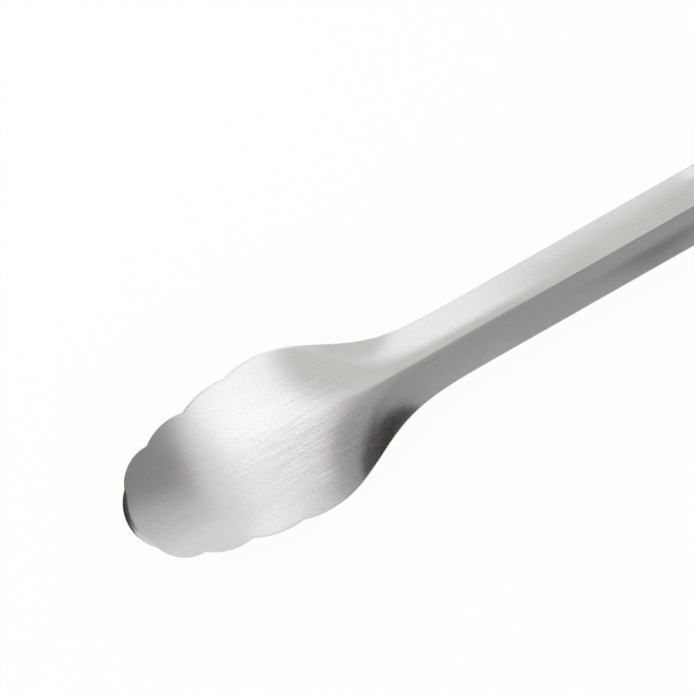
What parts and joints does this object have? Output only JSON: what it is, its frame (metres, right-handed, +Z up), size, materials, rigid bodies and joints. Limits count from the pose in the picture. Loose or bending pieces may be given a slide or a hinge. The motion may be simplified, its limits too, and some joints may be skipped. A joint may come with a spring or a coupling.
{
  "type": "serving tongs",
  "caption": "Hinged serving tongs with scalloped spoon heads, roof-section handles and a sliding lock loop at the tail.",
  "frame": {"origin": "on the table, under the middle of the box round the closed tongs", "axes": "+X along the tongs, from the scalloped tips to the pull loop; +Z up, the way the upper arm opens; +Y across"},
  "size_m": [0.2286, 0.044, 0.017],
  "materials": {
    "brushed_steel": "brushed along the arm",
    "rivet_steel": "polished",
    "sleeve_steel": "drawn tube",
    "spring_steel": "drawn wire",
    "lock_steel": "satin",
    "latch_steel": "turned"
  },
  "bodies": {
    "lower_arm": {"lower_arm": "brushed_steel", "hinge_rivet": "rivet_steel", "spacer_sleeve": "sleeve_steel", "torsion_spring": "spring_steel"},
    "upper_arm": {"upper_arm": "brushed_steel"},
    "lock": {"lock_loop": "lock_steel", "latch_pin": "latch_steel"}
  },
  "joints": [
    {"name": "arm_hinge", "type": "hinge", "parent": "lower_arm", "child": "upper_arm", "pos_m": [0.0977, 0, 0.0085], "axis": [0, 1, 0], "range_deg": [0, 24], "deforming": ["torsion_spring"]},
    {"name": "lock_slide", "type": "slide", "parent": "lower_arm", "child": "lock", "axis": [-1, 0, 0], "range_m": [-0.008, 0]}
  ]
}
